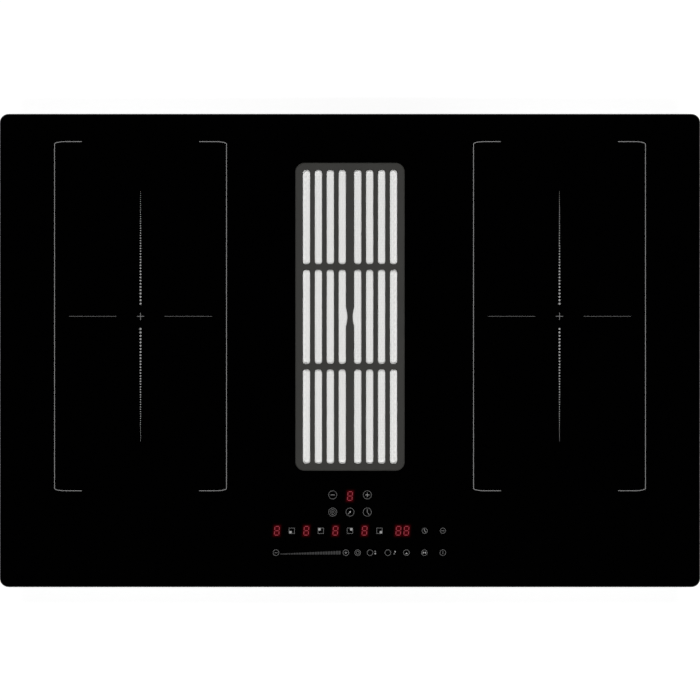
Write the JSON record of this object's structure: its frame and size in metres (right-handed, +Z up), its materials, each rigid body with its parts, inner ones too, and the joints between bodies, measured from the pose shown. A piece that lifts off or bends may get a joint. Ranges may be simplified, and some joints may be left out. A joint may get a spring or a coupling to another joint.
{
  "type": "induction cooktop",
  "caption": "Built-in induction cooktop: black glass over coil zones, touch controls, and a central slotted grille over a downdraft fan with a flat duct outlet.",
  "frame": {"origin": "centre of the worktop cut-out, on the worktop's upper face", "axes": "+X to the user's right, +Y to the back, +Z up"},
  "size_m": [0.77, 0.52, 0.2065],
  "materials": {
    "black_glass": "polished black glass ceramic",
    "seal_foam": "closed-cell foam",
    "zinc_sheet": "galvanised sheet",
    "cast_grille": "matt dark enamel",
    "silicone": "soft matt",
    "filter_metal": "fine satin mesh",
    "filter_rim": "satin",
    "duct_plastic": "moulded, fine grain",
    "fan_plastic": "moulded",
    "screw_steel": "zinc plated",
    "bright_steel": "ground",
    "rubber": "soft",
    "copper": "enamelled copper",
    "ferrite": "matt",
    "mica": "matt sheet",
    "aluminium": "mill finish",
    "board_green": "solder mask",
    "component": "moulded",
    "light_plastic": "moulded",
    "display_red": "red segment modules"
  },
  "bodies": {
    "hob": {"air_box": "duct_plastic", "base_pan": "zinc_sheet", "board_components": "component", "board_standoffs": "light_plastic", "bracket_screws": "screw_steel", "cable_gland": "duct_plastic", "casing_screws": "screw_steel", "coil_carrier_front_left": "light_plastic", "coil_carrier_front_right": "light_plastic", "coil_carrier_rear_left": "light_plastic", "coil_carrier_rear_right": "light_plastic", "coil_plate_left": "aluminium", "coil_plate_right": "aluminium", "coil_winding_front_left": "copper", "coil_winding_front_right": "copper", "coil_winding_rear_left": "copper", "coil_winding_rear_right": "copper", "cooling_fan_left": "fan_plastic", "cooling_fan_right": "fan_plastic", "deck_screws": "screw_steel", "digit_displays": "display_red", "display_board": "board_green", "display_holder": "light_plastic", "duct_screws": "screw_steel", "fan_deck": "duct_plastic", "fan_motor": "zinc_sheet", "ferrite_bars": "ferrite", "fixing_brackets": "zinc_sheet", "gland_locknut": "duct_plastic", "glass_top": "black_glass", "heat_sinks": "aluminium", "inlet_duct": "duct_plastic", "insulation_sheets": "mica", "leaf_springs": "bright_steel", "motor_grommets": "rubber", "motor_screws": "screw_steel", "outlet_spigot": "duct_plastic", "power_boards": "board_green", "scroll_housing": "duct_plastic", "scroll_screws": "screw_steel", "shaft_bearings": "bright_steel", "spigot_screws": "screw_steel", "spring_posts": "light_plastic", "support_frame": "zinc_sheet", "temperature_sensors": "light_plastic", "terminal_block": "light_plastic", "touch_pads": "rubber", "vent_collar": "duct_plastic", "worktop_seal": "seal_foam"},
    "drip_tray": {"drip_tray": "duct_plastic"},
    "grease_filter": {"filter_frame": "filter_rim", "filter_mesh": "filter_metal"},
    "vent_grille": {"vent_grille": "cast_grille", "grille_pads": "silicone"},
    "impeller": {"impeller_back": "fan_plastic", "impeller_blades": "fan_plastic", "impeller_nut": "screw_steel", "motor_shaft": "bright_steel"},
    "cooling_rotor_left": {"cooling_rotor_left": "fan_plastic"},
    "cooling_rotor_right": {"cooling_rotor_right": "fan_plastic"}
  },
  "joints": [
    {"name": "tray_lift", "type": "slide", "parent": "hob", "child": "drip_tray", "axis": [0, 0, 1], "range_m": [0, 0.1]},
    {"name": "filter_lift", "type": "slide", "parent": "drip_tray", "child": "grease_filter", "axis": [0, 0, 1], "range_m": [0, 0.05]},
    {"name": "grille_lift", "type": "slide", "parent": "grease_filter", "child": "vent_grille", "axis": [0, 0, 1], "range_m": [0, 0.06]},
    {"name": "impeller_spin", "type": "hinge", "parent": "hob", "child": "impeller", "pos_m": [-0.014, -0.045, -0.15], "axis": [0, 0, 1], "continuous": true},
    {"name": "cooling_spin_left", "type": "hinge", "parent": "hob", "child": "cooling_rotor_left", "pos_m": [-0.2305, -0.186, -0.045], "axis": [0, 0, 1], "continuous": true},
    {"name": "cooling_spin_right", "type": "hinge", "parent": "hob", "child": "cooling_rotor_right", "pos_m": [0.2305, -0.186, -0.045], "axis": [0, 0, 1], "continuous": true}
  ]
}
